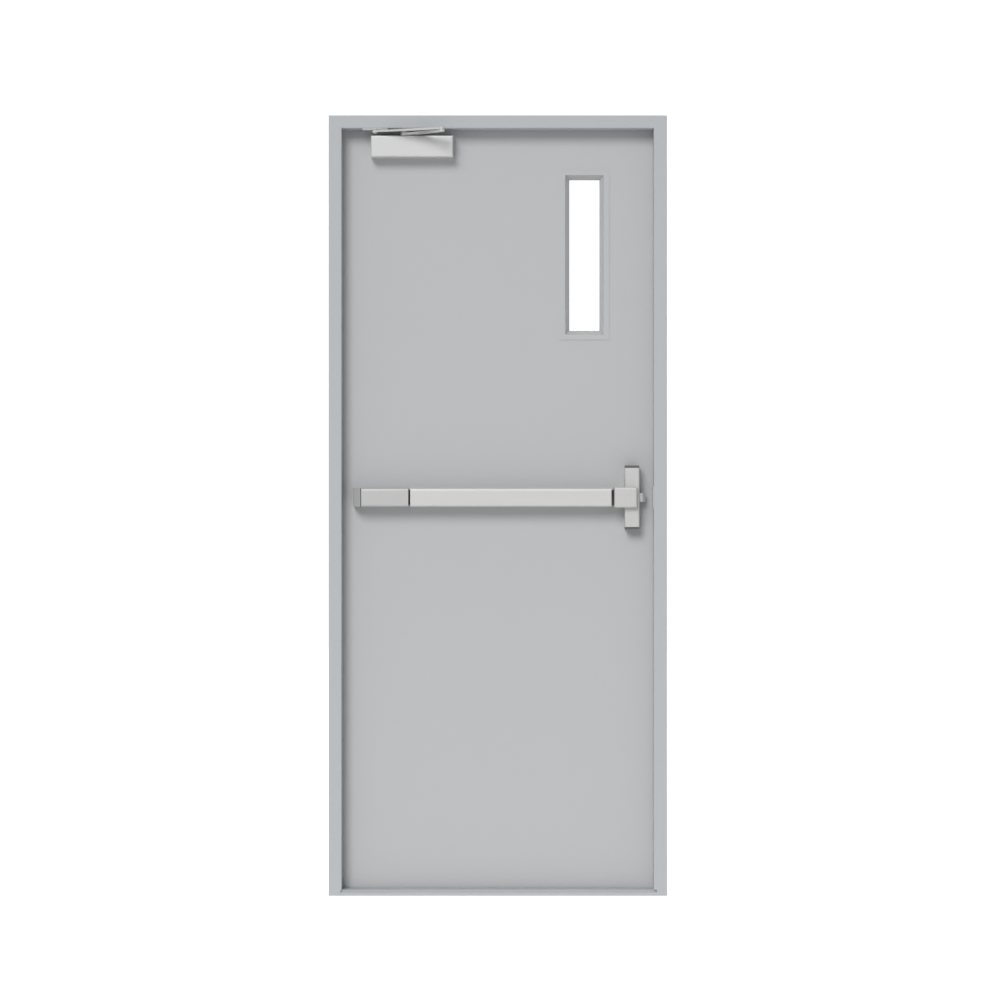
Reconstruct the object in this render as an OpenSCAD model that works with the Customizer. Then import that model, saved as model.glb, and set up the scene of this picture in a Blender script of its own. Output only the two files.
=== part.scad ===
// Single-leaf steel fire door in its pressed steel frame, seen from the push side.
// X runs to the right, Y away from the push side, Z up. The origin is on the floor, under
// the middle of the sill and in the middle of the frame's depth.

/* [Frame] */
// Overall width of the frame
frame_w = 910; // [850:5:1200]
// Overall height of the frame
frame_h = 2100; // [2050:5:2400]
// Depth of the frame through the wall
frame_depth = 100; // [98:1:140]
// Width of the face on the push side
push_face_w = 35; // [34:1:50]
// Width of the stop that the leaf closes against
stop_w = 15; // [14:0.5:18]
// Depth of the rebate that takes the leaf
rebate_depth = 50; // [49.5:0.5:52]
// Width of the sheet's return on the wall side
return_w = 12; // [9:1:20]
// Thickness of the frame's sheet
frame_sheet = 1.5; // [1.2:0.1:2]
// Radius of the frame's bends at the middle of the sheet
frame_bend_r = 1.75; // [1.2:0.05:2]

/* [Sill] */
// Height of the sill's stop
sill_h = 16; // [14:0.5:22]
// Height of the sill's upright nose
sill_nose_h = 8; // [5:0.5:11]
// Depth of the sloped face behind the nose
sill_slope = 10; // [6:0.5:16]
// Thickness of the flat part that the leaf passes over
sill_floor_t = 5; // [3:0.5:6]
// Wall of the sill's hollow part
sill_wall = 2; // [1.5:0.1:2.5]
// How far the sill's slanted end runs into the hinge jamb
sill_lap_hinge = 12; // [4:0.5:14]
// How far the sill's square end runs into the lock jamb
sill_lap_lock = 8; // [3:0.5:14]

/* [Leaf] */
// Thickness of the leaf
leaf_t = 45; // [43:0.5:46]
// Gap between the leaf and the frame
edge_gap = 5; // [4:0.5:6]
// Gap between the leaf and the sill
floor_gap = 5; // [5:0.5:8]
// Thickness of the leaf's skins
skin_t = 1.2; // [0.8:0.1:1.6]
// Radius of the skins' bends at the middle of the sheet
skin_bend_r = 1.4; // [0.9:0.05:2]
// Slot between the two skins along the edges of the leaf
seam_w = 0.6; // [0.3:0.1:2]
// How much narrower the push face is at the lock edge
lock_bevel = 3; // [0:0.5:4]
// Height of the channels that close the top and the bottom
channel_h = 25; // [15:1:50]

/* [Seals] */
// Width of the seals' foot
seal_w = 9; // [7:0.5:10]
// Thickness of the seals' foot
seal_foot_t = 1.5; // [1:0.1:2]
// Distance from the rebate's corner to the seal
seal_inset = 1.5; // [1:0.1:2]
// Gap between the seal and the closed leaf
seal_gap = 0.5; // [0.3:0.1:1]

/* [Hinges] */
// Height of a hinge
hinge_h = 102; // [80:1:130]
// Radius of the knuckles
knuckle_r = 7; // [6:0.25:8]
// Radius of the hinge pin
hinge_pin_r = 3.5; // [3:0.1:4]
// Width of a hinge plate in the gap
hinge_plate_w = 30; // [24:1:36]
// Thickness of a hinge plate
hinge_plate_t = 3; // [2.5:0.1:3.5]
// From the top of the leaf to the middle of the top hinge
hinge_top_inset = 210; // [150:5:400]
// From the bottom of the leaf to the middle of the bottom hinge
hinge_bottom_inset = 255; // [150:5:400]

/* [Anchors] */
// Number of wall anchors in each jamb
anchor_count = 4; // [3:1:5]
// From each end of a jamb to the nearest anchor
anchor_end_inset = 225; // [200:5:300]
// Radius of the anchors' bolt holes
anchor_hole_r = 5.5; // [4:0.25:6.5]
// Radius of the anchors' spacer tubes
anchor_tube_r = 9; // [8:0.5:11]
// Height of the anchors' straps
anchor_strap_h = 30; // [24:1:60]
// Thickness of the anchors' straps
anchor_strap_t = 2; // [1.5:0.1:3]

/* [Vision panel] */
// Width over the vision panel's frame
vision_w = 133; // [110:1:240]
// Height over the vision panel's frame
vision_h = 460; // [200:1:700]
// From the leaf's lock edge to the vision panel
vision_lock_inset = 128.5; // [110:0.5:300]
// From the top of the leaf to the vision panel
vision_top_inset = 116.5; // [100:0.5:300]
// Width of the flat flange on the leaf
vision_flange = 13.5; // [11:0.5:18]
// Width of the sloped bead, seen from the front
vision_bead = 11.5; // [8:0.5:16]
// Thickness of the vision panel's sheet
vision_sheet = 1.5; // [1:0.1:2]
// Thickness of the fire glass
glass_t = 6; // [5:0.5:8]
// How far the bead laps over the edge of the glass
glass_lap = 11; // [8:0.5:12]

/* [Closer] */
// Length of the closer's body
closer_l = 222; // [200:1:260]
// Height of the closer's body
closer_h = 58; // [50:1:65]
// Depth of the closer's body
closer_d = 46; // [42:1:46]
// From the leaf's hinge edge to the closer's body
closer_inset = 88; // [80:1:120]
// From the head's underside to the top of the body
closer_drop = 18; // [18:0.5:24]
// Radius of the body's edges
closer_edge_r = 4; // [2:0.5:8]
// From the body's end to the spindle
spindle_x = 90.5; // [80:0.5:110]
// From the leaf's push face to the spindle
spindle_d = 22; // [18:0.5:26]
// Radius of the spindle
spindle_r = 5; // [4:0.25:6]
// Radius of the main arm's hub
hub_r = 11; // [9:0.5:12]
// Length of the main arm between its centres
main_arm_l = 138; // [130:1:142]
// Angle of the main arm in front of the head
main_arm_angle = 42.4; // [41:0.1:44]
// Thickness of the main arm
main_arm_t = 6; // [4:0.5:6]
// Thickness of the forearm
forearm_t = 4.5; // [3:0.5:4.5]

/* [Exit device] */
// From the floor to the middle of the exit device
exit_z = 1072; // [900:1:1150]
// Height of the push bar and its cover
bar_h = 50; // [46:0.5:56]
// From the leaf's push face to the front of the push bar
bar_reach = 65; // [60:1:75]
// Radius of the bar's long front edges
bar_edge_r = 6.5; // [4:0.5:9]
// Wall of the push bar
bar_wall = 2.2; // [1.8:0.1:3]
// Travel of the push bar
bar_travel = 12; // [8:0.5:12]
// Slot between the push bar and the fixed cover
bar_slot = 5.2; // [5:0.1:8]
// Slot between the push bar and the head cap
bar_head_slot = 7.5; // [5:0.5:10]
// From the leaf's hinge edge to the end cap
exit_inset = 40; // [30:1:80]
// Length of the fixed cover
cover_l = 126.5; // [60:0.5:130]
// Slot between the end cap and the fixed cover
end_slot = 2; // [1:0.5:4]
// Length of the tapered end cap
end_cap_l = 21; // [12:1:24]
// Depth of the rail on the leaf
rail_d = 36; // [30:0.5:40]
// Wall of the rail
rail_wall = 2; // [1.5:0.1:3]
// Width of the lock case
case_w = 40; // [36:0.5:44]
// Height of the lock case
case_h = 159; // [120:1:200]
// Depth of the lock case
case_d = 48; // [44:0.5:52]
// From the leaf's lock edge to the lock case
case_inset = 48; // [46:0.5:60]
// Wall of the lock case
case_wall = 2; // [1.5:0.1:3]
// Height of the dark caps on the case's ends
case_end_h = 6.5; // [3:0.5:12]
// Height of the head cap
head_cap_h = 55; // [50:1:62]
// Length of the head cap
head_cap_l = 62; // [50:1:62]
// From the lock case's outer side to the head cap
head_cap_inset = 7; // [4:0.5:10]
// From the leaf's push face to the front of the head cap
head_cap_reach = 68; // [64:1:78]
// Height of the latch bolt
latch_h = 23.4; // [16:0.1:30]
// Thickness of the latch bolt
latch_t = 18; // [14:0.5:20]
// From the leaf's push face to the front of the latch bolt
latch_d = 38; // [34:0.5:40]
// How far the latch bolt reaches into the case
latch_tail = 19; // [16:0.5:24]
// How far the latch bolt stands out of the case
latch_out = 16.5; // [13:0.5:17]
// Height of the strike on the frame
strike_h = 62; // [50:1:90]
// How far the strike stands off the frame
strike_t = 4; // [3:0.5:10]

/* [Hidden] */
$fn = 48;

// Clearance between pieces that seat on each other
seat_gap = 0.3;
// Running clearance of a pin in its bore and of a sliding piece
run_gap = 0.1;
slide_gap = 0.5;
// How far a cutter runs past the face that it cuts
past = 1;
bend_steps = 4;

frame_left = -frame_w / 2;
frame_front = -frame_depth / 2;
frame_back = frame_depth / 2;
stop_y = frame_back - rebate_depth;
rebate_face_w = push_face_w - stop_w;
soffit_x = frame_w / 2 - push_face_w;
soffit_z = frame_h - push_face_w;
rebate_x = frame_w / 2 - rebate_face_w;
rebate_z = frame_h - rebate_face_w;
anchor_y = (frame_front + stop_y) / 2;
anchor_pitch = (frame_h - 2 * anchor_end_inset) / (anchor_count - 1);

leaf_back = frame_back;
leaf_front = leaf_back - leaf_t;
leaf_mid = (leaf_front + leaf_back) / 2;
leaf_half_w = rebate_x - edge_gap;
leaf_bottom = sill_floor_t + floor_gap;
leaf_top = rebate_z - edge_gap;
leaf_h = leaf_top - leaf_bottom;
seal_t = leaf_front - stop_y - seal_gap;

hinge_x = -(rebate_x + leaf_half_w) / 2;
hinge_y = leaf_back + knuckle_r;
hinge_z = [leaf_top - hinge_top_inset,
           (leaf_top - hinge_top_inset + leaf_bottom + hinge_bottom_inset) / 2,
           leaf_bottom + hinge_bottom_inset];
knuckle_count = 5;
knuckle_gap = 0.4;
knuckle_h = (hinge_h - (knuckle_count - 1) * knuckle_gap) / knuckle_count;
// A hinge plate stops this far inside the pull face
plate_back_gap = 0.5;
plate_end_y = leaf_back - plate_back_gap;
reinforcement_t = 5;
reinforcement_margin = 24;
reinforcement_lap = 5;

vision_x = leaf_half_w - vision_lock_inset - vision_w / 2;
vision_z = leaf_top - vision_top_inset - vision_h / 2;
glass_front = leaf_mid - glass_t / 2;
glass_w = vision_w - 2 * (vision_flange + vision_bead) + 2 * glass_lap;
glass_h = vision_h - 2 * (vision_flange + vision_bead) + 2 * glass_lap;
// Room left round the glass in the leaf's cut-out
glass_edge_room = 4;
vision_cut_w = glass_w + 2 * glass_edge_room;
vision_cut_h = glass_h + 2 * glass_edge_room;

closer_left = -leaf_half_w + closer_inset;
closer_top = soffit_z - closer_drop;
spindle = [closer_left + spindle_x, leaf_front - spindle_d];
hinge_axis = [hinge_x, hinge_y];
link_offset = main_arm_l * [cos(main_arm_angle), -sin(main_arm_angle)];
elbow = spindle + link_offset;
shoe_pivot = hinge_axis + link_offset;
forearm_l = norm(spindle - hinge_axis);
forearm_angle = atan2(elbow[1] - shoe_pivot[1], elbow[0] - shoe_pivot[0]);
// Clearance under the main arm, between the two arms and under the elbow's head
body_gap = 2;
link_gap = 0.8;
elbow_gap = 0.4;
main_arm_z = closer_top + body_gap;
forearm_z = main_arm_z + main_arm_t + link_gap;
forearm_top = forearm_z + forearm_t;
eye_r = 9;
elbow_r = 8;
elbow_pin_r = 3.5;
elbow_head_r = 6;
elbow_head_t = 1.2;
shoe_t = 3;
shoe_half_l = 34;
// Margins of the shoe's plate to the frame's front and to the stop
shoe_front_margin = 3;
shoe_back_margin = 5;
stud_r = 4;
stud_head_r = 6.5;
stud_head_t = 2.5;
stud_collar_r = 7;

rail_h = bar_h - 2 * bar_wall - 2 * slide_gap;
case_right = leaf_half_w - case_inset;
case_left = case_right - case_w;
cap_left = case_right - head_cap_inset - head_cap_l;
rail_right = cap_left - seat_gap;
end_cap_right = -leaf_half_w + exit_inset + end_cap_l;
rail_left = end_cap_right + seat_gap;
cover_left = end_cap_right + end_slot;
cover_right = cover_left + cover_l;
bar_left = cover_right + bar_slot;
bar_right = cap_left - bar_head_slot;
latch_front = leaf_front - latch_d;

function unit(v) = v / norm(v);
function left_of(v) = [-v[1], v[0]];
function turned(v, a) = [v[0] * cos(a) - v[1] * sin(a), v[0] * sin(a) + v[1] * cos(a)];

// One side of a folded strip: the centre path, moved sideways, with an arc at each bend
function folded_side(path, r, side) = [
    path[0] + side * left_of(unit(path[1] - path[0])),
    for (i = [1 : len(path) - 2])
        let (d1 = unit(path[i] - path[i - 1]),
             d2 = unit(path[i + 1] - path[i]),
             turn = atan2(d1[0] * d2[1] - d1[1] * d2[0], d1 * d2),
             way = sign(turn),
             centre = path[i] - d1 * r * tan(abs(turn) / 2) + left_of(d1) * way * r)
        for (k = [0 : bend_steps])
            centre - way * (r - way * side) * turned(left_of(d1), turn * k / bend_steps),
    path[len(path) - 1] + side * left_of(unit(path[len(path) - 1] - path[len(path) - 2]))
];

function reversed(list) = [for (i = [len(list) - 1 : -1 : 0]) list[i]];

// Cross-section of a sheet of thickness t, folded along a centre path
module folded_sheet(path, t, r) {
    polygon(concat(folded_side(path, r, t / 2), reversed(folded_side(path, r, -t / 2))));
}

// A prism along Y over an outline in X and Z
module prism_y(points, y0, y1) {
    translate([0, y1, 0])
        rotate([90, 0, 0])
            linear_extrude(y1 - y0)
                polygon(points);
}

// What is drawn in Y and Z, made long from x0 to x1
module along_x(x0, x1) {
    translate([x0, 0, 0])
        rotate([90, 0, 90])
            linear_extrude(x1 - x0)
                children();
}

// A box between two corners
module block(low, high) {
    translate(low)
        cube(high - low);
}

// A rectangle between two corners, with its corners rounded at the low end of the first axis
module front_rounded(low, high, r) {
    translate([low[0] + r, low[1]])
        square([high[0] - low[0] - r, high[1] - low[1]]);
    translate([low[0], low[1] + r])
        square([2 * r, high[1] - low[1] - 2 * r]);
    for (v = [low[1] + r, high[1] - r])
        translate([low[0] + r, v])
            circle(r);
}

// A flat bar of thickness t with a round eye of its own radius at each end
module link_bar(length, r1, r2, t) {
    waist = 0.8;
    cylinder(r = r1, h = t);
    translate([length, 0, 0])
        cylinder(r = r2, h = t);
    linear_extrude(t)
        polygon([[0, waist * r1], [length, waist * r2], [length, -waist * r2], [0, -waist * r1]]);
}

// The frame's section, measured from the wall side towards the opening, and through the wall
module frame_section() {
    half = frame_sheet / 2;
    folded_sheet([[half, frame_front + return_w],
                  [half, frame_front + half],
                  [push_face_w - half, frame_front + half],
                  [push_face_w - half, stop_y - half],
                  [rebate_face_w - half, stop_y - half],
                  [rebate_face_w - half, frame_back - half],
                  [half, frame_back - half],
                  [half, frame_back - return_w]],
                 frame_sheet, frame_bend_r);
}

// A jamb with its wall side at X = 0, mitred at the top and cut round the sill's end
module jamb(lap_foot, lap_top) {
    deep = push_face_w + past;
    difference() {
        intersection() {
            linear_extrude(frame_h)
                frame_section();
            prism_y([[0, 0], [deep, 0], [deep, frame_h - deep], [0, frame_h]],
                    frame_front - past, frame_back + past);
        }
        prism_y([[push_face_w - lap_foot, -past], [deep, -past], [deep, sill_h],
                 [push_face_w - lap_top, sill_h], [push_face_w - lap_foot, 0]],
                frame_front - past, stop_y);
        for (i = [0 : anchor_count - 1])
            translate([rebate_face_w, anchor_y, anchor_end_inset + i * anchor_pitch])
                rotate([0, 90, 0])
                    cylinder(r = anchor_hole_r, h = deep);
    }
}

module hinge_jamb() {
    color("silver")
        difference() {
            translate([frame_left, 0, 0])
                jamb(sill_lap_hinge, 0);
            for (z = hinge_z)
                translate([0, 0, z])
                    hinge_plate_space(-rebate_x - hinge_plate_t - seat_gap, -rebate_x + past);
        }
}

module lock_jamb() {
    color("silver")
        mirror([1, 0, 0])
            translate([frame_left, 0, 0])
                jamb(sill_lap_lock, sill_lap_lock);
}

module frame_head() {
    deep = push_face_w + past;
    color("silver")
        intersection() {
            translate([frame_left, 0, frame_h])
                rotate([0, 90, 0])
                    linear_extrude(frame_w)
                        frame_section();
            prism_y([[frame_left, frame_h], [frame_left + deep, frame_h - deep],
                     [-frame_left - deep, frame_h - deep], [-frame_left, frame_h]],
                    frame_front - past, frame_back + past);
        }
}

module sill() {
    slope_back = frame_front + sill_slope;
    wall_rise = sill_wall * 0.4;
    color("silver")
        difference() {
            along_x(-rebate_x + seat_gap, rebate_x - seat_gap)
                difference() {
                    polygon([[frame_front, 0], [frame_front, sill_nose_h], [slope_back, sill_h],
                             [stop_y, sill_h], [stop_y, sill_floor_t],
                             [frame_back, sill_floor_t], [frame_back, 0]]);
                    polygon([[frame_front + sill_wall, sill_wall],
                             [frame_front + sill_wall, sill_nose_h - wall_rise],
                             [slope_back + wall_rise, sill_h - sill_wall],
                             [stop_y - sill_wall, sill_h - sill_wall],
                             [stop_y - sill_wall, sill_wall]]);
                }
            prism_y([[-rebate_x, -past], [-soffit_x - sill_lap_hinge, -past],
                     [-soffit_x - sill_lap_hinge, 0], [-soffit_x, sill_h],
                     [-soffit_x, sill_h + past], [-rebate_x, sill_h + past]],
                    frame_front - past, stop_y);
            block([soffit_x + sill_lap_lock, frame_front - past, -past],
                  [rebate_x, stop_y, sill_h + past]);
        }
}

// A seal's section: its foot along X from 0, its bulb standing up in Y
module seal_section() {
    square([seal_w, seal_foot_t]);
    translate([seal_w / 2, seal_t / 2])
        circle(seal_t / 2);
}

module seal_hinge_side() {
    color("dimgray")
        translate([-rebate_x + seal_inset, stop_y, sill_floor_t + seat_gap])
            linear_extrude(rebate_z - seal_inset - seal_w - sill_floor_t - 2 * seat_gap)
                seal_section();
}

module seal_lock_side() {
    mirror([1, 0, 0])
        seal_hinge_side();
}

module seal_head() {
    color("dimgray")
        translate([-rebate_x + seal_inset, stop_y, rebate_z - seal_inset])
            rotate([0, 90, 0])
                linear_extrude(2 * (rebate_x - seal_inset))
                    seal_section();
}

module seal_sill() {
    inner = rebate_x - seal_inset - seal_w - seat_gap;
    color("dimgray")
        translate([-inner, stop_y, sill_floor_t + seal_w + seat_gap])
            rotate([0, 90, 0])
                linear_extrude(2 * inner)
                    seal_section();
}

// Strap and spacer tube of one wall anchor, with the wall side at X = 0
module wall_anchor() {
    strap_x = frame_sheet;
    tube_end = push_face_w - frame_sheet;
    strap_reach = frame_depth / 2 - frame_sheet - frame_bend_r;
    difference() {
        union() {
            block([strap_x, -strap_reach, -anchor_strap_h / 2],
                  [strap_x + anchor_strap_t, strap_reach, anchor_strap_h / 2]);
            translate([strap_x, anchor_y, 0])
                rotate([0, 90, 0])
                    cylinder(r = anchor_tube_r, h = tube_end - strap_x);
        }
        translate([0, anchor_y, 0])
            rotate([0, 90, 0])
                cylinder(r = anchor_hole_r, h = push_face_w);
    }
}

module anchors_hinge_side() {
    color("lightgray")
        for (i = [0 : anchor_count - 1])
            translate([frame_left, 0, anchor_end_inset + i * anchor_pitch])
                wall_anchor();
}

module anchors_lock_side() {
    mirror([1, 0, 0])
        anchors_hinge_side();
}

// Space that a hinge plate takes at the edge, from the pull face inwards
module hinge_plate_space(x0, x1) {
    block([x0, leaf_back - hinge_plate_w - seat_gap, -hinge_h / 2 - seat_gap],
          [x1, leaf_back + past, hinge_h / 2 + seat_gap]);
}

module hinge_reinforcements() {
    outer = -rebate_x - frame_sheet;
    color("lightgray")
        for (z = hinge_z)
            translate([0, 0, z])
                difference() {
                    block([outer - reinforcement_t, leaf_back - hinge_plate_w - reinforcement_lap,
                           -hinge_h / 2 - reinforcement_margin],
                          [outer, frame_back - frame_sheet - frame_bend_r,
                           hinge_h / 2 + reinforcement_margin]);
                    hinge_plate_space(-rebate_x - hinge_plate_t, -rebate_x);
                }
}

// One half of a hinge: side -1 is on the frame and carries the pin, side 1 is on the leaf
module hinge_half(side) {
    first = side < 0 ? 0 : 1;
    inner = edge_gap / 2;
    outer = inner + hinge_plate_t;
    low = side < 0 ? -outer : inner;
    high = side < 0 ? -inner : outer;
    translate([hinge_x, hinge_y, 0]) {
        block([low, leaf_back - hinge_plate_w - hinge_y, -hinge_h / 2],
              [high, plate_end_y - hinge_y, hinge_h / 2]);
        for (k = [first : 2 : knuckle_count - 1])
            translate([0, 0, -hinge_h / 2 + k * (knuckle_h + knuckle_gap)]) {
                difference() {
                    union() {
                        cylinder(r = knuckle_r, h = knuckle_h);
                        block([low, plate_end_y - hinge_y - past, 0], [high, -knuckle_r / 2, knuckle_h]);
                    }
                    if (side > 0)
                        translate([0, 0, -past])
                            cylinder(r = hinge_pin_r + run_gap, h = knuckle_h + 2 * past);
                }
            }
        if (side < 0)
            translate([0, 0, -hinge_h / 2])
                cylinder(r = hinge_pin_r, h = hinge_h);
    }
}

module hinge_half_at(side, i) {
    color("silver")
        translate([0, 0, hinge_z[i]])
            hinge_half(side);
}

module hinge_top_frame_half() {
    hinge_half_at(-1, 0);
}

module hinge_middle_frame_half() {
    hinge_half_at(-1, 1);
}

module hinge_bottom_frame_half() {
    hinge_half_at(-1, 2);
}

module hinge_top_leaf_half() {
    hinge_half_at(1, 0);
}

module hinge_middle_leaf_half() {
    hinge_half_at(1, 1);
}

module hinge_bottom_leaf_half() {
    hinge_half_at(1, 2);
}

// The lock edge of the leaf leans in towards the push face
function lock_edge(y) = leaf_half_w - lock_bevel * (leaf_back - y) / leaf_t;

// What both skins and the core are cut away for
module leaf_cuts() {
    for (z = hinge_z)
        translate([0, 0, z])
            hinge_plate_space(-leaf_half_w - past, -leaf_half_w + hinge_plate_t + seat_gap);
    block([vision_x - vision_cut_w / 2, leaf_front - past, vision_z - vision_cut_h / 2],
          [vision_x + vision_cut_w / 2, leaf_back + past, vision_z + vision_cut_h / 2]);
}

// A skin folded round both edges of the leaf: face_y is its flat, seam_y where it ends
module leaf_skin(face_y, seam_y) {
    half = skin_t / 2;
    color("lightgray")
        difference() {
            translate([0, 0, leaf_bottom])
                linear_extrude(leaf_h)
                    folded_sheet([[-leaf_half_w + half, seam_y],
                                  [-leaf_half_w + half, face_y],
                                  [lock_edge(face_y) - half, face_y],
                                  [lock_edge(seam_y) - half, seam_y]],
                                 skin_t, skin_bend_r);
            leaf_cuts();
        }
}

module leaf_front_skin() {
    leaf_skin(leaf_front + skin_t / 2, leaf_mid - seam_w / 2);
}

module leaf_back_skin() {
    leaf_skin(leaf_back - skin_t / 2, leaf_mid + seam_w / 2);
}

// A channel between the skins that closes the leaf's end, web at Z = 0 and legs upwards
module end_channel() {
    x0 = -leaf_half_w + skin_t + seat_gap;
    x1 = lock_edge(leaf_front) - skin_t - seat_gap;
    y0 = leaf_front + skin_t;
    y1 = leaf_back - skin_t;
    difference() {
        block([x0, y0, 0], [x1, y1, channel_h]);
        block([x0 - past, y0 + skin_t, skin_t], [x1 + past, y1 - skin_t, channel_h + past]);
    }
}

module leaf_bottom_channel() {
    color("lightgray")
        translate([0, 0, leaf_bottom])
            end_channel();
}

module leaf_top_channel() {
    color("lightgray")
        translate([0, 0, leaf_top])
            mirror([0, 0, 1])
                end_channel();
}

module leaf_core() {
    edge = skin_t + skin_bend_r;
    inset = 2 * skin_t;
    color("khaki")
        difference() {
            union() {
                block([-leaf_half_w + edge, leaf_front + skin_t, leaf_bottom + channel_h],
                      [lock_edge(leaf_front) - edge, leaf_back - skin_t, leaf_top - channel_h]);
                block([-leaf_half_w + edge, leaf_front + inset, leaf_bottom + skin_t],
                      [lock_edge(leaf_front) - edge, leaf_back - inset, leaf_top - skin_t]);
            }
            leaf_cuts();
        }
}

// One side of the vision panel's frame, mitred at both ends, at distance from the middle
module vision_side(length, distance) {
    deep = vision_flange + vision_bead + past;
    half = vision_sheet / 2;
    intersection() {
        translate([-distance, 0, -length / 2])
            linear_extrude(length)
                folded_sheet([[0, leaf_front - half],
                              [vision_flange, leaf_front - half],
                              [vision_flange + vision_bead, glass_front - vision_sheet * 0.4]],
                             vision_sheet, vision_sheet);
        prism_y([[-distance, -length / 2], [-distance + deep, deep - length / 2],
                 [-distance + deep, length / 2 - deep], [-distance, length / 2]],
                frame_front, frame_back);
    }
}

module vision_ring() {
    color("lightgray")
        translate([vision_x, 0, vision_z])
            for (side = [0 : 3])
                rotate([0, 90 * side, 0])
                    vision_side(side % 2 == 0 ? vision_h : vision_w,
                                (side % 2 == 0 ? vision_w : vision_h) / 2);
}

module vision_frame_front() {
    vision_ring();
}

module vision_frame_back() {
    translate([0, 2 * leaf_mid, 0])
        mirror([0, 1, 0])
            vision_ring();
}

module vision_glass() {
    color("lightcyan")
        block([vision_x - glass_w / 2, glass_front, vision_z - glass_h / 2],
              [vision_x + glass_w / 2, glass_front + glass_t, vision_z + glass_h / 2]);
}

module closer_body() {
    front = leaf_front - closer_d;
    low = closer_top - closer_h;
    right = closer_left + closer_l;
    color("gainsboro") {
        intersection() {
            along_x(closer_left, right)
                front_rounded([front, low], [leaf_front, closer_top], closer_edge_r);
            translate([0, 0, low])
                linear_extrude(closer_h)
                    rotate(90)
                        front_rounded([front, -right], [leaf_front, -closer_left], closer_edge_r);
        }
        translate([spindle[0], spindle[1], closer_top - past])
            cylinder(r = spindle_r, h = forearm_top - closer_top + past);
    }
}

module closer_main_arm() {
    // The spindle stands proud of the hub by this much
    hub_step = 0.5;
    head_low = forearm_top + elbow_gap - main_arm_z;
    color("gainsboro")
        translate([spindle[0], spindle[1], main_arm_z])
            rotate(-main_arm_angle) {
                difference() {
                    union() {
                        link_bar(main_arm_l, hub_r, elbow_r, main_arm_t);
                        cylinder(r = hub_r, h = forearm_top - main_arm_z - hub_step);
                    }
                    translate([0, 0, -past])
                        cylinder(r = spindle_r + run_gap, h = closer_drop);
                }
                translate([main_arm_l, 0, main_arm_t - past])
                    cylinder(r = elbow_pin_r, h = head_low - main_arm_t + past);
                translate([main_arm_l, 0, head_low])
                    cylinder(r = elbow_head_r, h = elbow_head_t);
            }
}

module closer_forearm() {
    color("gainsboro")
        translate([shoe_pivot[0], shoe_pivot[1], forearm_z])
            rotate(forearm_angle)
                difference() {
                    link_bar(forearm_l, eye_r, elbow_r, forearm_t);
                    for (x = [0, forearm_l])
                        translate([x, 0, -past])
                            cylinder(r = stud_r + run_gap, h = forearm_t + 2 * past);
                }
}

module closer_shoe() {
    plate_low = soffit_z - shoe_t;
    stud_low = forearm_z - seat_gap - stud_head_t;
    collar_low = forearm_top + seat_gap;
    color("gainsboro") {
        block([shoe_pivot[0] - shoe_half_l, frame_front + shoe_front_margin, plate_low],
              [shoe_pivot[0] + shoe_half_l, stop_y - shoe_back_margin, soffit_z]);
        translate([shoe_pivot[0], shoe_pivot[1], stud_low])
            cylinder(r = stud_r, h = plate_low - stud_low + past);
        translate([shoe_pivot[0], shoe_pivot[1], stud_low])
            cylinder(r = stud_head_r, h = stud_head_t);
        translate([shoe_pivot[0], shoe_pivot[1], collar_low])
            cylinder(r = stud_collar_r, h = plate_low - collar_low + past);
    }
}

module exit_rail() {
    color("silver")
        along_x(rail_left, rail_right)
            difference() {
                translate([leaf_front - rail_d, exit_z - rail_h / 2])
                    square([rail_d, rail_h]);
                translate([leaf_front - rail_d - past, exit_z - rail_h / 2 + rail_wall])
                    square([rail_d - rail_wall + past, rail_h - 2 * rail_wall]);
            }
}

// Section of the bar and its cover: an open channel with rounded front edges
module bar_section(wall, lap) {
    front = leaf_front - bar_reach;
    rear = leaf_front - rail_d + lap;
    difference() {
        front_rounded([front, exit_z - bar_h / 2], [rear, exit_z + bar_h / 2], bar_edge_r);
        front_rounded([front + wall, exit_z - bar_h / 2 + wall],
                      [rear + past, exit_z + bar_h / 2 - wall], bar_edge_r - wall);
    }
}

module exit_rail_cover() {
    // The cover's rear edges stop short of the leaf
    leaf_gap = 5;
    color("silver")
        along_x(cover_left, cover_right)
            bar_section(bar_wall, rail_d - leaf_gap);
}

module push_bar() {
    // How far the bar overlaps the rail, and how far its end plates stay off it when pressed
    rail_lap = 8;
    press_gap = 2;
    front = leaf_front - bar_reach;
    plate_rear = leaf_front - rail_d - bar_travel - press_gap;
    color("gainsboro") {
        along_x(bar_left, bar_right)
            bar_section(bar_wall, rail_lap);
        for (x = [bar_left, bar_right - bar_wall])
            along_x(x, x + bar_wall)
                intersection() {
                    front_rounded([front, exit_z - bar_h / 2],
                                  [leaf_front, exit_z + bar_h / 2], bar_edge_r);
                    translate([front, exit_z - bar_h / 2])
                        square([plate_rear - front, bar_h]);
                }
    }
}

module exit_end_cap() {
    // The sloped face starts behind the cover's front, and is blunt at its foot
    step = 2;
    blunt = 3;
    front = leaf_front - bar_reach;
    left = end_cap_right - end_cap_l;
    color("darkgray")
        intersection() {
            along_x(left, end_cap_right)
                front_rounded([front, exit_z - bar_h / 2], [leaf_front, exit_z + bar_h / 2], bar_edge_r);
            translate([0, 0, exit_z - bar_h / 2])
                linear_extrude(bar_h)
                    polygon([[end_cap_right, leaf_front], [end_cap_right, front + step],
                             [left + step, front + end_cap_l], [left, front + end_cap_l + blunt],
                             [left, leaf_front]]);
        }
}

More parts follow.
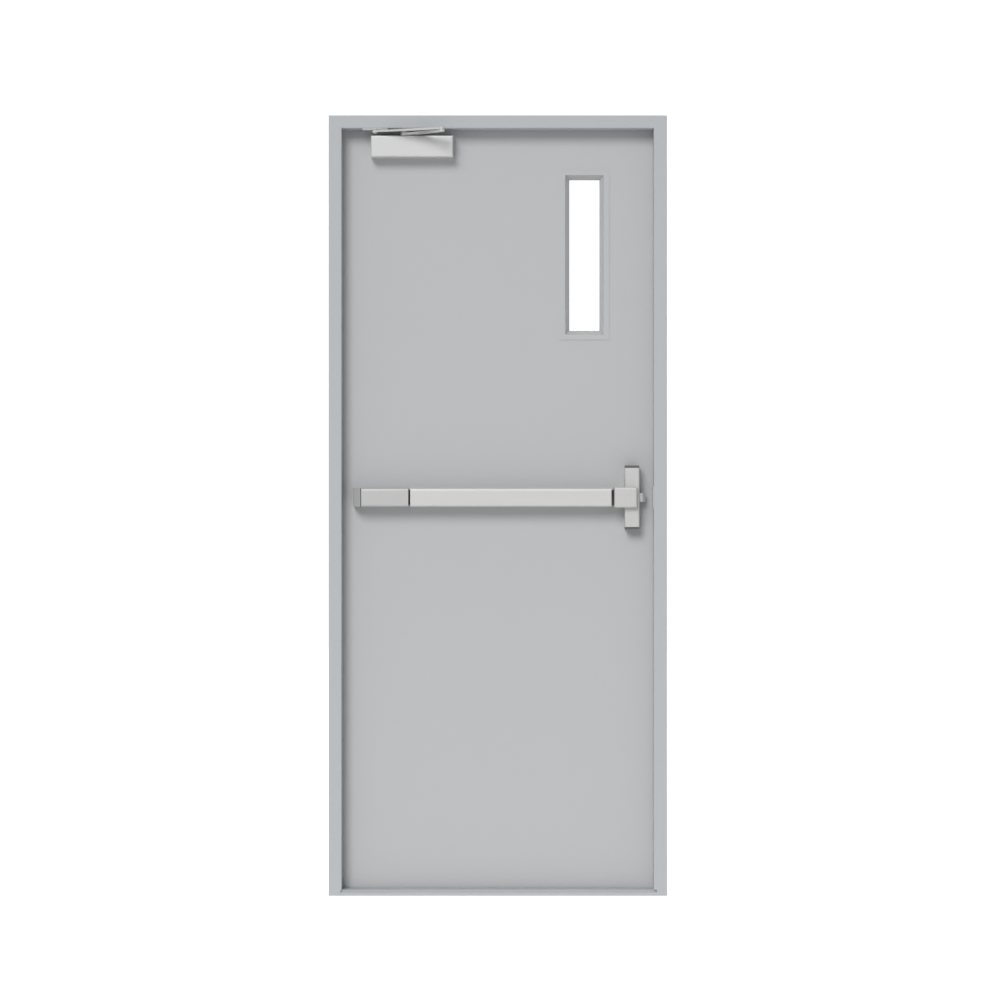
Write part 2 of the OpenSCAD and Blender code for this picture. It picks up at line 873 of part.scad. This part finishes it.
module exit_case() {
    front = leaf_front - case_d;
    low = exit_z - case_h / 2;
    edge_r = 4;
    color("gainsboro")
        difference() {
            translate([0, 0, low])
                linear_extrude(case_h)
                    rotate(90)
                        front_rounded([front, -case_right], [leaf_front, -case_left], edge_r);
            block([case_left + case_wall, front + case_wall, low + case_wall],
                  [case_right - case_wall, leaf_front - case_wall, low + case_h - case_wall]);
            block([case_right - case_wall - past, latch_front - slide_gap,
                   exit_z - latch_h / 2 - slide_gap],
                  [case_right + past, latch_front + latch_t + slide_gap,
                   exit_z + latch_h / 2 + slide_gap]);
        }
}

module exit_case_ends() {
    inset = 1.5;
    color("dimgray")
        for (z = [exit_z - case_h / 2 - case_end_h, exit_z + case_h / 2])
            block([case_left + inset, leaf_front - case_d + inset, z],
                  [case_right - inset, leaf_front, z + case_end_h]);
}

module exit_head_cap() {
    front = leaf_front - head_cap_reach;
    low = exit_z - head_cap_h / 2;
    edge_r = 5;
    right = cap_left + head_cap_l;
    color("silver")
        difference() {
            intersection() {
                along_x(cap_left, right)
                    front_rounded([front, low], [leaf_front, low + head_cap_h], edge_r);
                translate([0, 0, low])
                    linear_extrude(head_cap_h)
                        rotate(90)
                            front_rounded([front, -right], [leaf_front, -cap_left], edge_r);
            }
            block([case_left - seat_gap, leaf_front - case_d - seat_gap, low - past],
                  [right + past, leaf_front + past, low + head_cap_h + past]);
        }
}

module latch_bolt() {
    tip = case_right + latch_out;
    tail = case_right - latch_tail;
    rear = latch_front + latch_t;
    color("white")
        translate([0, 0, exit_z - latch_h / 2])
            linear_extrude(latch_h)
                polygon([[tail, latch_front], [tip - latch_t / 2, latch_front],
                         [tip, latch_front + latch_t * 0.7], [tip, rear], [tail, rear]]);
}

module rim_strike() {
    // Room that the ridges leave above and below the latch bolt
    latch_room = 1;
    plate_t = 2;
    plate_margin = 5;
    ridge_w = 4;
    front = frame_front + plate_margin;
    rear = stop_y - plate_margin;
    ridge_low = exit_z - latch_h / 2 - latch_room - ridge_w;
    ridge_high = exit_z + latch_h / 2 + latch_room;
    color("silver") {
        block([soffit_x - plate_t, front, exit_z - strike_h / 2],
              [soffit_x, rear, exit_z + strike_h / 2]);
        for (z = [ridge_low, ridge_high])
            block([soffit_x - strike_t, front + ridge_w, z],
                  [soffit_x - plate_t, rear - ridge_w, z + ridge_w]);
    }
}

frame_head();
hinge_jamb();
lock_jamb();
sill();
seal_head();
seal_hinge_side();
seal_lock_side();
seal_sill();
anchors_hinge_side();
anchors_lock_side();
hinge_reinforcements();
rim_strike();
closer_shoe();
hinge_top_frame_half();
hinge_middle_frame_half();
hinge_bottom_frame_half();
leaf_front_skin();
leaf_back_skin();
leaf_top_channel();
leaf_bottom_channel();
leaf_core();
vision_frame_front();
vision_frame_back();
vision_glass();
hinge_top_leaf_half();
hinge_middle_leaf_half();
hinge_bottom_leaf_half();
closer_body();
closer_main_arm();
closer_forearm();
exit_rail();
exit_rail_cover();
exit_end_cap();
exit_case();
exit_case_ends();
exit_head_cap();
push_bar();
latch_bolt();
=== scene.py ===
# %% [markdown]
# A steel fire door, dressed for a studio picture.
# The door is already built: every folded sheet, hinge, arm and bar comes in as a mesh at its
# real size. What is left for this file is what a paint shop, a fitter and a photographer add:
# the finishes, the screws and small trims, the light and the camera.

# %% Load the finished metalwork
import math

import bmesh
import bpy
from mathutils import Matrix, Vector


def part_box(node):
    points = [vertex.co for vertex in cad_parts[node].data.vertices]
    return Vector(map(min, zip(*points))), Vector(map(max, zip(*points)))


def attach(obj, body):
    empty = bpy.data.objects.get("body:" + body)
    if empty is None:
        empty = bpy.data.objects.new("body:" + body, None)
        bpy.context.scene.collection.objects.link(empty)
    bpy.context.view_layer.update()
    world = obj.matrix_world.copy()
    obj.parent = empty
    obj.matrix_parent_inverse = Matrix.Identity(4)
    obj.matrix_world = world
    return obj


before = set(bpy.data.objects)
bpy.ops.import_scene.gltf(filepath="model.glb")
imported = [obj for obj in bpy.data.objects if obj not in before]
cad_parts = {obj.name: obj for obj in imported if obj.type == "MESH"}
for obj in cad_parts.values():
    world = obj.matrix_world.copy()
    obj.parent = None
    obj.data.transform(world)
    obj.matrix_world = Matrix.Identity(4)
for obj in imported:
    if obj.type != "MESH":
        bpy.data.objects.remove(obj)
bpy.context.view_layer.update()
MM = 0.001

# %% [markdown]
# The camera stands where a catalogue photographer stands: straight in front of the door, at
# chest height and well back, with a long lens. At that distance the sides of the push bar and
# the depth of the frame only just show, and nothing converges. The lens follows from the width
# that the picture has to take in, so only real distances are chosen here.

# %% Camera
CAMERA_HEIGHT = 1.065
CAMERA_SIDE = 0.006
CAMERA_DISTANCE = 8.5
PICTURE_WIDTH = 2.69
SENSOR_WIDTH = 36.0

frame_front_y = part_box("lock_jamb")[0].y
camera_data = bpy.data.cameras.new("studio_camera")
camera_data.sensor_width = SENSOR_WIDTH
camera_data.lens = SENSOR_WIDTH * CAMERA_DISTANCE / PICTURE_WIDTH
camera = bpy.data.objects.new("studio_camera", camera_data)
camera.location = (CAMERA_SIDE, frame_front_y - CAMERA_DISTANCE, CAMERA_HEIGHT)
camera.rotation_euler = (math.radians(90), 0, 0)
bpy.context.scene.collection.objects.link(camera)
bpy.context.scene.camera = camera
print("lens:", round(camera_data.lens, 1), "mm")

# %% [markdown]
# Shader sums are easier to read as sums. A Tap holds one output socket of a node. Adding or
# multiplying taps adds Math nodes to the same tree, so `1 - mask` or `grain * 0.3 + 0.4` can
# be written as they are thought. Colours never pass through those, because a Math node would
# turn them grey: they are blended with Mix nodes instead.

# %% Sockets that can be added and multiplied
class Tap:
    def __init__(self, tree, socket):
        self.tree = tree
        self.socket = socket

    def node(self, kind, settings=None, inputs=None, output=0):
        return add_node(self.tree, kind, settings, inputs, output)

    def math(self, operation, first, second=0.0):
        return self.node("ShaderNodeMath", {"operation": operation}, {0: first, 1: second})

    def __add__(self, other):
        return self.math("ADD", self, other)

    def __radd__(self, other):
        return self.math("ADD", other, self)

    def __sub__(self, other):
        return self.math("SUBTRACT", self, other)

    def __rsub__(self, other):
        return self.math("SUBTRACT", other, self)

    def __mul__(self, other):
        return self.math("MULTIPLY", self, other)

    def __rmul__(self, other):
        return self.math("MULTIPLY", other, self)

    def __truediv__(self, other):
        return self.math("DIVIDE", self, other)

    def __pow__(self, other):
        return self.math("POWER", self, other)

    def clamped(self):
        return self.node("ShaderNodeClamp", None, {0: self})

    def between(self, low, high):
        """0 below low, 1 above high, and straight between them."""
        return self.node("ShaderNodeMapRange", None, {"Value": self, "From Min": low, "From Max": high})


def add_node(tree, kind, settings=None, inputs=None, output=0):
    """Any node: its settings first, then the values or links of its sockets."""
    node = tree.nodes.new(kind)
    for name, value in (settings or {}).items():
        setattr(node, name, value)
    for name, value in (inputs or {}).items():
        feed(tree, node.inputs[name], value)
    return Tap(tree, node.outputs[output])


def feed(tree, socket, value):
    if isinstance(value, Tap):
        tree.links.new(value.socket, socket)
    else:
        socket.default_value = value


# %% [markdown]
# A Finish is one material under construction. What is the same all over a surface, such as how
# metallic it is, is set on the shader itself. What changes from place to place, such as a
# faint mottling of the paint, is a tap that is plugged into the colour, the roughness or a
# bump. All patterns are laid out in the object's own space, so they stay on a moving leaf.

# %% One material under construction
class Finish:
    def __init__(self, name, **constants):
        self.material = bpy.data.materials.new(name)
        self.material.use_nodes = True
        self.tree = self.material.node_tree
        self.shader = self.tree.nodes["Principled BSDF"]
        for socket, value in constants.items():
            self.shader.inputs[socket.replace("_", " ")].default_value = value
        place = self.tree.nodes.new("ShaderNodeTexCoord")
        self.place = Tap(self.tree, place.outputs["Object"])

    def node(self, kind, settings=None, inputs=None, output=0):
        return add_node(self.tree, kind, settings, inputs, output)

    def stretched(self, scale):
        """The object's own space, squeezed along each axis, for grain that runs one way."""
        return self.node("ShaderNodeMapping", None, {"Vector": self.place, "Scale": scale})

    def noise(self, scale, detail=2.0, where=None):
        sockets = {"Vector": where or self.place, "Scale": scale, "Detail": detail}
        return self.node("ShaderNodeTexNoise", None, sockets)

    def mix_colour(self, mask, low, high):
        sockets = {0: mask, 6: low, 7: high}
        return self.node("ShaderNodeMix", {"data_type": "RGBA"}, sockets, output=2)

    def colour(self, value):
        feed(self.tree, self.shader.inputs["Base Color"], value)

    def roughness(self, value):
        feed(self.tree, self.shader.inputs["Roughness"], value)

    def bump(self, height, distance, strength=1.0):
        sockets = {"Height": height, "Distance": distance, "Strength": strength}
        feed(self.tree, self.shader.inputs["Normal"], self.node("ShaderNodeBump", None, sockets))


def grey(value, warmth=0.0):
    """A linear grey, a little warmer (or cooler, below 0) than neutral."""
    return (value * (1 + warmth), value, value * (1 - warmth), 1.0)


# %% [markdown]
# The frame and the leaf are sprayed with the same kind of light grey satin enamel. Sprayed
# enamel is never quite flat: it has a fine ripple, like the skin of an orange, and its gloss
# and tone drift a little over a big panel. One function makes it, and the frame and the leaf
# only differ in tone, because the frame in the picture is a shade darker and cooler.

# %% Sprayed enamel on frame and leaf
def satin_enamel(name, tone, warmth, gloss=0.42):
    paint = Finish(name, Metallic=0.0, IOR=1.45)
    drift = paint.noise(1.7, 3.0)
    ripple = paint.noise(420.0, 1.0)
    mottle = (drift - 0.5) * 0.5 + 0.5
    paint.colour(paint.mix_colour(mottle, grey(tone * 0.975, warmth), grey(tone * 1.025, warmth)))
    paint.roughness(gloss + (paint.noise(9.0, 2.0) - 0.5) * 0.10)
    paint.bump(ripple, 0.00006, 0.35)
    return paint.material


frame_paint = satin_enamel("frame_enamel", 0.470, -0.040)
leaf_paint = satin_enamel("leaf_enamel", 0.485, -0.013)
print("enamels:", frame_paint.name, leaf_paint.name)

# %% [markdown]
# The closer and the exit device are aluminium and steel castings under a silver lacquer. The
# lacquer holds fine metal flakes, so it is half metallic, a bit lighter than the door, and
# glitters very slightly. The push bar and its cover are extrusions that were drawn through a
# die, and the lacquer over them still shows faint lines along their length.

# %% Silver lacquer, plain or over drawn lines
def silver_lacquer(name, tone, warmth=0.0, lines=None, rough=0.40):
    lacquer = Finish(name, Metallic=0.25, IOR=1.5)
    flakes = lacquer.noise(1500.0, 0.0)
    cloud = lacquer.noise(14.0, 2.0)
    if lines is None:
        grain = flakes
    else:
        grain = lacquer.noise(1.0, 2.0, lacquer.stretched(lines))
    tone_mask = (grain - 0.5) * 0.5 + (cloud - 0.5) * 0.4 + 0.5
    lacquer.colour(lacquer.mix_colour(tone_mask, grey(tone * 0.95, warmth), grey(tone * 1.05, warmth)))
    lacquer.roughness(rough + (grain - 0.5) * 0.14)
    lacquer.bump(grain * 0.6 + flakes * 0.4, 0.00003, 0.5)
    return lacquer.material


DRAWN_LINES = (3.0, 700.0, 700.0)
closer_silver = silver_lacquer("closer_lacquer", 0.62)
exit_silver = silver_lacquer("exit_lacquer", 0.575, 0.008)
bar_silver = silver_lacquer("push_bar_lacquer", 0.62, 0.008, DRAWN_LINES)
cover_grey = silver_lacquer("cover_lacquer", 0.52, 0.004, DRAWN_LINES)
end_cap_grey = silver_lacquer("end_cap_lacquer", 0.45, 0.0)
latch_silver = silver_lacquer("latch_lacquer", 0.60, 0.0, None, 0.34)
print("lacquers:", closer_silver.name, exit_silver.name, bar_silver.name, cover_grey.name,
      end_cap_grey.name, latch_silver.name)

# %% [markdown]
# Bare metals are the ones that rub: hinges, pins and screws. They are fully
# metallic, and their brushed lines are a noise stretched along the brushing. The wall anchors
# and the plates inside the frame are zinc plated, with the faint crystals of a zinc bath.

# %% Brushed steel and zinc
def brushed_steel(name, tone, lines, rough=0.32):
    steel = Finish(name, Metallic=1.0)
    grain = steel.noise(1.0, 3.0, steel.stretched(lines))
    steel.colour(steel.mix_colour(grain, grey(tone * 0.88, 0.01), grey(tone * 1.1, 0.01)))
    steel.roughness(rough + (grain - 0.5) * 0.2)
    steel.bump(grain, 0.00003, 0.6)
    return steel.material


def zinc_plate(name, tone):
    zinc = Finish(name, Metallic=0.9)
    settings = {"feature": "F1"}
    crystal = zinc.node("ShaderNodeTexVoronoi", settings, {"Vector": zinc.place, "Scale": 130.0})
    zinc.colour(zinc.mix_colour(crystal, grey(tone * 1.1, -0.02), grey(tone * 0.85, -0.02)))
    zinc.roughness(0.42 + (zinc.noise(40.0) - 0.5) * 0.2)
    zinc.bump(crystal, 0.00004, 0.4)
    return zinc.material


hinge_steel = brushed_steel("hinge_steel", 0.56, (900.0, 900.0, 12.0))
screw_steel = brushed_steel("screw_steel", 0.55, (300.0, 300.0, 300.0), 0.3)
inner_zinc = zinc_plate("inner_zinc", 0.6)
print("metals:", hinge_steel.name, screw_steel.name, inner_zinc.name)

# %% [markdown]
# The rest is soft, hidden or clear. The seals are matt black rubber with a fine bloom, the
# caps of the lock case dark moulded plastic, the core pressed mineral wool with its fibres
# lying flat. The fire glass is clear, and only its roughness changes: a trace of handling.

# %% Rubber, plastic, wool and glass
def dark_moulding(name, tone, rough, scale):
    moulding = Finish(name, Metallic=0.0)
    bloom = moulding.noise(scale, 3.0)
    moulding.colour(moulding.mix_colour(bloom, grey(tone * 0.8), grey(tone * 1.3)))
    moulding.roughness(rough + (bloom - 0.5) * 0.12)
    moulding.bump(moulding.noise(900.0, 1.0), 0.00005, 0.5)
    return moulding.material


def mineral_wool():
    wool = Finish("mineral_wool", Roughness=1.0)
    fibre = wool.noise(1.0, 4.0, wool.stretched((600.0, 90.0, 40.0)))
    wool.colour(wool.mix_colour(fibre, (0.30, 0.25, 0.12, 1), (0.62, 0.55, 0.34, 1)))
    wool.bump(fibre, 0.0005)
    return wool.material


def clear_glass():
    glass = Finish("fire_glass", IOR=1.45, Transmission_Weight=1.0)
    handling = glass.noise(6.0, 3.0).between(0.5, 0.8)
    glass.colour((0.985, 0.995, 0.99, 1.0))
    glass.roughness(handling * 0.02)
    return glass.material


seal_rubber = dark_moulding("seal_rubber", 0.03, 0.75, 60.0)
case_plastic = dark_moulding("case_end_plastic", 0.10, 0.5, 80.0)
wool = mineral_wool()
glass = clear_glass()
print("others:", seal_rubber.name, case_plastic.name, wool.name, glass.name)

# %% [markdown]
# Each piece of metalwork gets its finish. The table reads like a paint schedule, with the
# finish on the left and the pieces on the right. A thin bevel on the pieces with sharp ground
# edges is what lets a long edge catch the light, as a real edge does.

# %% Paint schedule
HINGE_NODES = [f"hinge_{place}_{half}_half" for place in ("top", "middle", "bottom")
               for half in ("frame", "leaf")]
SCHEDULE = {
    frame_paint: ["frame_head", "hinge_jamb", "lock_jamb", "sill"],
    leaf_paint: ["leaf_front_skin", "leaf_back_skin", "leaf_top_channel", "leaf_bottom_channel",
                 "vision_frame_front", "vision_frame_back"],
    closer_silver: ["closer_body", "closer_main_arm", "closer_forearm", "closer_shoe"],
    exit_silver: ["exit_case", "exit_head_cap", "exit_rail"],
    bar_silver: ["push_bar"],
    cover_grey: ["exit_rail_cover"],
    end_cap_grey: ["exit_end_cap"],
    hinge_steel: HINGE_NODES,
    latch_silver: ["latch_bolt", "rim_strike"],
    inner_zinc: ["anchors_hinge_side", "anchors_lock_side", "hinge_reinforcements"],
    seal_rubber: ["seal_head", "seal_hinge_side", "seal_lock_side", "seal_sill"],
    case_plastic: ["exit_case_ends"],
    wool: ["leaf_core"],
    glass: ["vision_glass"],
}


def dress(node, material):
    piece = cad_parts[node]
    piece.data.materials.clear()
    piece.data.materials.append(material)


for material, nodes in SCHEDULE.items():
    for node in nodes:
        dress(node, material)
print("dressed:", sum(len(nodes) for nodes in SCHEDULE.values()), "pieces")


# %% Eased edges
def ease_edges(node, width):
    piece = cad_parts[node]
    bevel = piece.modifiers.new("eased_edges", "BEVEL")
    bevel.width = width
    bevel.segments = 2
    bevel.limit_method = "ANGLE"
    bevel.angle_limit = math.radians(50)
    bevel.harden_normals = False


for node in ("sill", "closer_body", "exit_head_cap", "exit_end_cap", "exit_case_ends", "latch_bolt"):
    ease_edges(node, 0.6 * MM)
for node in ("vision_frame_front", "vision_frame_back"):
    ease_edges(node, 1.1 * MM)
print("eased:", len([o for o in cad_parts.values() if o.modifiers]))

# %% [markdown]
# Screws are all one idea: a profile turned about an axis. A turned ring of points is cheap,
# and making the inner rings star-shaped or six-sided cuts the driver's recess in the same
# pass. Every ring is a function of the angle, so a round head and a hexagon socket differ in
# one number. All the screws of one place are joined into a single piece.

# %% A turned head with a recess
RING_POINTS = 24


def ring_radius(radius, lobes, depth, angle):
    """A circle when lobes is 0, or a star with that many lobes."""
    if not lobes:
        return radius
    return radius * (1 - depth * 0.5 * (1 - math.cos(lobes * angle)))


def turned_head(mesh, at, axis, rings):
    """Adds one head to mesh. Each ring is (radius, height, lobes, depth), from rim to centre."""
    turn = Vector((0, 0, 1)).rotation_difference(Vector(axis)).to_matrix().to_4x4()
    stand = Matrix.Translation(Vector(at)) @ turn
    loops = []
    for radius, height, lobes, depth in rings:
        loop = []
        for k in range(RING_POINTS):
            angle = 2 * math.pi * k / RING_POINTS
            r = ring_radius(radius, lobes, depth, angle)
            loop.append(mesh.verts.new(stand @ Vector((r * math.cos(angle), r * math.sin(angle), height))))
        loops.append(loop)
    for outer, inner in zip(loops, loops[1:]):
        for k in range(RING_POINTS):
            n = (k + 1) % RING_POINTS
            mesh.faces.new((outer[k], outer[n], inner[n], inner[k]))
    mesh.faces.new(loops[-1])
    mesh.faces.new(list(reversed(loops[0])))


def cross_head(radius, height):
    """Rings of a flat head with a cross recess."""
    return [(radius, 0.0, 0, 0), (radius, height * 0.5, 0, 0), (radius * 0.85, height, 0, 0),
            (radius * 0.62, height, 4, 0.6), (radius * 0.5, height * 0.1, 4, 0.7)]


def socket_head(radius, height):
    """Rings of a round head with a six-sided socket."""
    return [(radius, 0.0, 0, 0), (radius, height * 0.8, 0, 0), (radius * 0.88, height, 0, 0),
            (radius * 0.5, height, 6, 0.13), (radius * 0.46, height * 0.3, 6, 0.13)]


def make_piece(name, mesh, body, material):
    data = bpy.data.meshes.new(name)
    bmesh.ops.recalc_face_normals(mesh, faces=mesh.faces)
    mesh.to_mesh(data)
    mesh.free()
    data.materials.append(material)
    piece = bpy.data.objects.new(name, data)
    bpy.context.scene.collection.objects.link(piece)
    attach(piece, body)
    return piece


def make_heads(name, places, axis, rings, body, material):
    mesh = bmesh.new()
    for place in places:
        turned_head(mesh, place, axis, rings)
    piece = make_piece(name, mesh, body, material)
    print(name, len(places), "heads")
    return piece


# %% [markdown]
# The hinge plates are let into the frame and the leaf, so their screws have to be flush. They
# sit in a zigzag, as on any butt hinge, to keep the wood screws of old from splitting a stile;
# steel doors kept the pattern. They only show when the leaf stands open.

# %% Hinge screws
HINGE_PLACES = ("top", "middle", "bottom")
SCREW_RISE = 0.25 * MM


def plate_screws(half, face_x, facing, body):
    spots = []
    for place in HINGE_PLACES:
        low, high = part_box(f"hinge_{place}_{half}_half")
        rows = 4
        for i in range(rows):
            z = low.z + (high.z - low.z) * (i + 0.5) / rows
            y = low.y + (9 if i % 2 else 19) * MM
            spots.append((face_x, y, z))
    make_heads(f"hinge_screws_{half}", spots, (facing, 0, 0), cross_head(4.2 * MM, SCREW_RISE),
               body, screw_steel)


rebate_x = -0.435
leaf_edge_x = -0.430
plate_screws("frame", rebate_x, 1, "frame")
plate_screws("leaf", leaf_edge_x, -1, "leaf")

# %% [markdown]
# The closer is held together by things that a fitter turns: a screw on the spindle that pulls
# the arm down, four under the head that hold the shoe, and the two little valves at the end of
# the body that set how fast the door shuts.

# %% Closer screws and valves
body_low, body_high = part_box("closer_body")
arm_low, arm_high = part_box("closer_main_arm")
shoe_low, shoe_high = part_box("closer_shoe")
HUB_RADIUS = 11 * MM
SPINDLE = Vector((-0.2515, -0.017))
elbow_xy = Vector((-0.1496, -0.11005))

make_heads("spindle_screw", [(SPINDLE.x, SPINDLE.y, body_high.z)], (0, 0, 1),
           socket_head(4.4 * MM, 1.0 * MM), "leaf", screw_steel)
shoe_plate_z = shoe_high.z - 3 * MM
shoe_mid = (shoe_low + shoe_high) / 2
shoe_spots = [(shoe_mid.x + sx * 27 * MM, shoe_mid.y + sy * 14 * MM, shoe_plate_z)
              for sx in (-1, 1) for sy in (-1, 1)]
make_heads("shoe_screws", shoe_spots, (0, 0, -1), cross_head(4.0 * MM, SCREW_RISE),
           "frame", screw_steel)
body_mid_z = (body_low.z + shoe_plate_z) / 2 - 8 * MM
valve_spots = [(body_low.x, -0.018, body_mid_z - 12 * MM), (body_low.x, -0.018, body_mid_z + 4 * MM)]
make_heads("closer_valves", valve_spots, (-1, 0, 0), cross_head(3.2 * MM, 0.8 * MM),
           "leaf", screw_steel)

# %% [markdown]
# The strike is screwed to the lock jamb through its ends. The dark caps of the lock case are
# held by one small screw each, in the face that looks up or down.

# %% Strike and cap screws
strike_low, strike_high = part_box("rim_strike")
strike_mid = (strike_low + strike_high) / 2
strike_face_x = strike_high.x - 2 * MM
strike_spots = [(strike_face_x, strike_mid.y, strike_mid.z + s * 24 * MM) for s in (-1, 1)]
make_heads("strike_screws", strike_spots, (-1, 0, 0), cross_head(3.6 * MM, 0.5 * MM),
           "frame", screw_steel)
cap_low, cap_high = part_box("exit_case_ends")
cap_mid = (cap_low + cap_high) / 2
for word, z, facing in (("top", cap_high.z, 1), ("bottom", cap_low.z, -1)):
    make_heads(f"cap_screw_{word}", [(cap_mid.x, cap_mid.y, z)], (0, 0, facing),
               cross_head(2.8 * MM, 0.8 * MM), "leaf", screw_steel)

# %% [markdown]
# On the pull side the door is plain, but it isn't bare. The closer and the exit device are
# bolted through the leaf, and each bolt ends in a low round head on that side. The bead of the
# vision panel is screwed from that side too, so that nobody can unscrew it from the fire side.

# %% Through bolts on the pull side
BOLT_RADIUS = 7.5 * MM
BOLT_RISE = 2.2 * MM


def bolt_head(radius, height):
    """Rings of a low domed head with a round-ended drive."""
    return [(radius, 0.0, 0, 0), (radius, height * 0.35, 0, 0), (radius * 0.9, height * 0.75, 0, 0),
            (radius * 0.7, height, 0, 0), (radius * 0.36, height, 6, 0.13), (radius * 0.33, height * 0.4, 6, 0.13)]


back_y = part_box("leaf_back_skin")[1].y
case_low, case_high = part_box("exit_case")
end_low, end_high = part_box("exit_end_cap")


def corners(low, high, inset_x, inset_z):
    return [(x, back_y, z) for x in (low.x + inset_x, high.x - inset_x)
            for z in (low.z + inset_z, high.z - inset_z)]


bolt_spots = [(x, back_y, z) for x in (body_low.x + 18 * MM, body_high.x - 18 * MM)
              for z in (body_low.z + 14 * MM, body_low.z + 44 * MM)]
bolt_spots += corners(case_low, case_high, 11 * MM, 24 * MM)
bolt_spots += corners(end_low, end_high, 10.4 * MM, 10 * MM)[:2]
make_heads("through_bolts", bolt_spots, (0, 1, 0), bolt_head(BOLT_RADIUS, BOLT_RISE),
           "leaf", screw_steel)

# %% Bead screws on the pull side
bead_low, bead_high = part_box("vision_frame_back")
bead_mid = (bead_low + bead_high) / 2
FLANGE_MIDDLE = 6.5 * MM
side_x = (bead_low.x + FLANGE_MIDDLE, bead_high.x - FLANGE_MIDDLE)
end_z = (bead_low.z + FLANGE_MIDDLE, bead_high.z - FLANGE_MIDDLE)
bead_spots = [(x, bead_high.y, bead_mid.z + step * 150 * MM) for x in side_x for step in (-1, 0, 1)]
bead_spots += [(bead_mid.x, bead_high.y, z) for z in end_z]
make_heads("bead_screws", bead_spots, (0, 1, 0), cross_head(3.0 * MM, 0.7 * MM),
           "leaf", screw_steel)

# %% Hinge pin tips
hinge_axis = Vector((-0.4325, 0.057))
tip_rings = [(6.4 * MM, 0.0, 0, 0), (6.4 * MM, 0.8 * MM, 0, 0), (5.6 * MM, 2.0 * MM, 0, 0), (3.2 * MM, 3.0 * MM, 0, 0)]
for word in HINGE_PLACES:
    low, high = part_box(f"hinge_{word}_frame_half")
    tip = bmesh.new()
    turned_head(tip, (hinge_axis.x, hinge_axis.y, high.z), (0, 0, 1), tip_rings)
    turned_head(tip, (hinge_axis.x, hinge_axis.y, low.z), (0, 0, -1), tip_rings)
    make_piece(f"pin_tips_{word}", tip, "frame", hinge_steel)

# %% [markdown]
# The studio. A pale floor, and one big window of light, high on the left and far off, so that
# the leaf is as bright at its foot as at its head. It draws the soft shadows to the lower right
# of the closer and the bar, and an even pale surround fills them. The surround is brighter to
# the eye than to the door, so that the background burns out to white behind the glass without
# washing out the paint.

# %% Floor, lights and surround
def seen_mask(tree):
    """1 where the camera looks straight at a thing or through glass, 0 where it only lights."""
    paths = tree.nodes.new("ShaderNodeLightPath")
    seen_straight = Tap(tree, paths.outputs["Is Camera Ray"])
    seen_through = Tap(tree, paths.outputs["Is Transmission Ray"])
    return (seen_straight + seen_through).clamped()


def pale_floor(seen, lit):
    mesh = bmesh.new()
    bmesh.ops.create_circle(mesh, cap_ends=True, segments=96, radius=14.0)
    data = bpy.data.meshes.new("studio_floor")
    mesh.to_mesh(data)
    mesh.free()
    floor = bpy.data.objects.new("studio_floor", data)
    bpy.context.scene.collection.objects.link(floor)
    paper = Finish("studio_paper", Emission_Strength=seen)
    paper.colour(paper.mix_colour(paper.noise(0.8), grey(0.80), grey(0.84)))
    paper.roughness(0.9 + (paper.noise(30.0) - 0.5) * 0.1)
    glow = paper.mix_colour(seen_mask(paper.tree), grey(lit / seen), grey(1.0))
    feed(paper.tree, paper.shader.inputs["Emission Color"], glow)
    data.materials.append(paper.material)


def far_window(name, elevation, sideways, spread, strength):
    """Light from a big, far window, up and to the left of the camera (angles in degrees)."""
    data = bpy.data.lights.new(name, "SUN")
    data.angle = math.radians(spread)
    data.energy = strength
    light = bpy.data.objects.new(name, data)
    rise, side = math.radians(elevation), math.radians(sideways)
    towards = Vector((-math.cos(rise) * math.sin(side), -math.cos(rise) * math.cos(side), math.sin(rise)))
    light.location = towards * 6.0
    light.rotation_euler = towards.to_track_quat("Z", "Y").to_euler()
    bpy.context.scene.collection.objects.link(light)


def pale_surround(seen, above, below):
    """What lights the door fades from the sky above to the dim lower walls of the studio."""
    world = bpy.data.worlds.new("pale_surround")
    world.use_nodes = True
    tree = world.node_tree
    way = add_node(tree, "ShaderNodeTexCoord")
    height = add_node(tree, "ShaderNodeSeparateXYZ", None, {0: way}, output=2)
    lit = height.between(-0.1, 0.8) * (above - below) + below
    mask = seen_mask(tree)
    background = tree.nodes["Background"]
    background.inputs["Color"].default_value = (1.0, 1.0, 1.0, 1.0)
    feed(tree, background.inputs["Strength"], mask * (seen - lit) + lit)
    bpy.context.scene.world = world


pale_floor(seen=0.72, lit=0.27)
far_window("window_light", elevation=28.0, sideways=17.0, spread=26.0, strength=1.78)
pale_surround(seen=1.15, above=0.49, below=0.11)
bpy.context.scene.view_settings.view_transform = "Standard"
print("studio lit")
